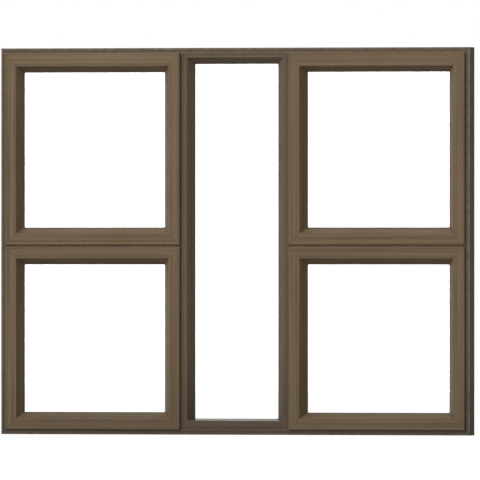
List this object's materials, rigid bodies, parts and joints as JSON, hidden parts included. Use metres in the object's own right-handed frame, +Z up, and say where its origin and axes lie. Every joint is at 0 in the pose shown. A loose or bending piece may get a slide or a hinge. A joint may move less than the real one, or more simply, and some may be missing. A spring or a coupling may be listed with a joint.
{
  "type": "top-hung window",
  "caption": "Bronze aluminium window with stacked top-hung sashes in both side bays, a tall fixed light in the middle and clear glass.",
  "frame": {"origin": "middle of the sill's underside, halfway through the frame's depth", "axes": "+X to the right seen from outdoors, +Y from outdoors to the room, +Z up"},
  "size_m": [1.5, 0.0793, 1.2],
  "materials": {
    "frame_bronze": "satin",
    "sash_bronze": "satin",
    "bead_bronze": "satin",
    "clear_glass": "gloss",
    "gasket_rubber": "matte",
    "handle_bronze": "satin"
  },
  "bodies": {
    "root": {"head": "frame_bronze", "sill": "frame_bronze", "left_jamb": "frame_bronze", "right_jamb": "frame_bronze", "left_mullion": "frame_bronze", "right_mullion": "frame_bronze", "left_transom": "frame_bronze", "right_transom": "frame_bronze", "left_upper_sash_top_rail": "sash_bronze", "left_upper_sash_bottom_rail": "sash_bronze", "left_upper_sash_left_stile": "sash_bronze", "left_upper_sash_right_stile": "sash_bronze", "left_upper_beads": "bead_bronze", "left_upper_glass": "clear_glass", "left_upper_gaskets": "gasket_rubber", "left_upper_handle": "handle_bronze", "left_lower_sash_top_rail": "sash_bronze", "left_lower_sash_bottom_rail": "sash_bronze", "left_lower_sash_left_stile": "sash_bronze", "left_lower_sash_right_stile": "sash_bronze", "left_lower_beads": "bead_bronze", "left_lower_glass": "clear_glass", "left_lower_gaskets": "gasket_rubber", "left_lower_handle": "handle_bronze", "right_upper_sash_top_rail": "sash_bronze", "right_upper_sash_bottom_rail": "sash_bronze", "right_upper_sash_left_stile": "sash_bronze", "right_upper_sash_right_stile": "sash_bronze", "right_upper_beads": "bead_bronze", "right_upper_glass": "clear_glass", "right_upper_gaskets": "gasket_rubber", "right_upper_handle": "handle_bronze", "right_lower_sash_top_rail": "sash_bronze", "right_lower_sash_bottom_rail": "sash_bronze", "right_lower_sash_left_stile": "sash_bronze", "right_lower_sash_right_stile": "sash_bronze", "right_lower_beads": "bead_bronze", "right_lower_glass": "clear_glass", "right_lower_gaskets": "gasket_rubber", "right_lower_handle": "handle_bronze", "centre_outer_beads": "bead_bronze", "centre_inner_beads": "bead_bronze", "centre_glass": "clear_glass", "centre_gaskets": "gasket_rubber", "handle_catches": "handle_bronze"}
  },
  "joints": []
}
